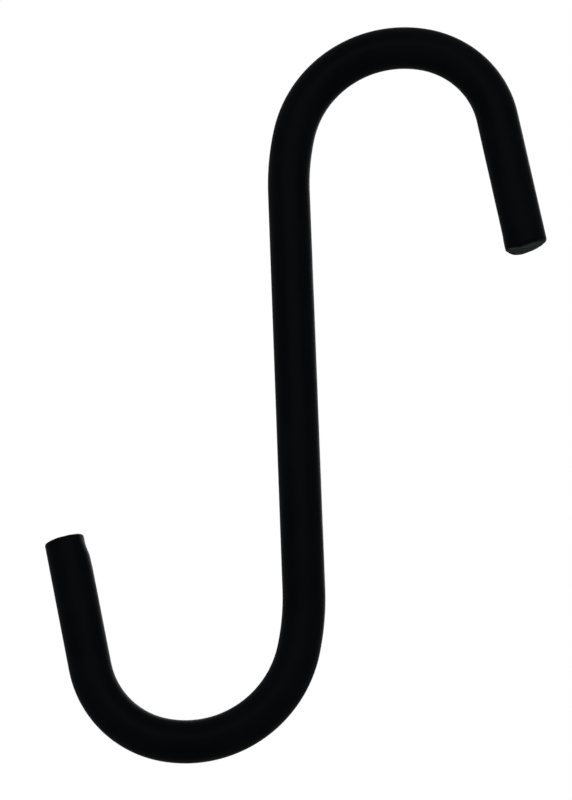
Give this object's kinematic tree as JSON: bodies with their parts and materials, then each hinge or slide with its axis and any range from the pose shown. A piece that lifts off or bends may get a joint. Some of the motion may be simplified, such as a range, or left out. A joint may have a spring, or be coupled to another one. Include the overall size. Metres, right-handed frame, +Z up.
{
  "type": "s hook",
  "caption": "S-shaped hook bent from round steel bar, black, with flared legs and sheared ends; hangs over a rail and carries a ring or handle.",
  "frame": {"origin": "the rail seat: the lowest point of the upper crown's underside, at the bar's middle, where the hook bears on the rail", "axes": "+Z up along the shank, +X the way the upper hook opens, +Y across the bar, square to the plane of the bends"},
  "size_m": [0.0967, 0.008, 0.1395],
  "materials": {
    "black_coat": "satin black powder coat"
  },
  "bodies": {
    "root": {"hook": "black_coat"}
  },
  "joints": []
}
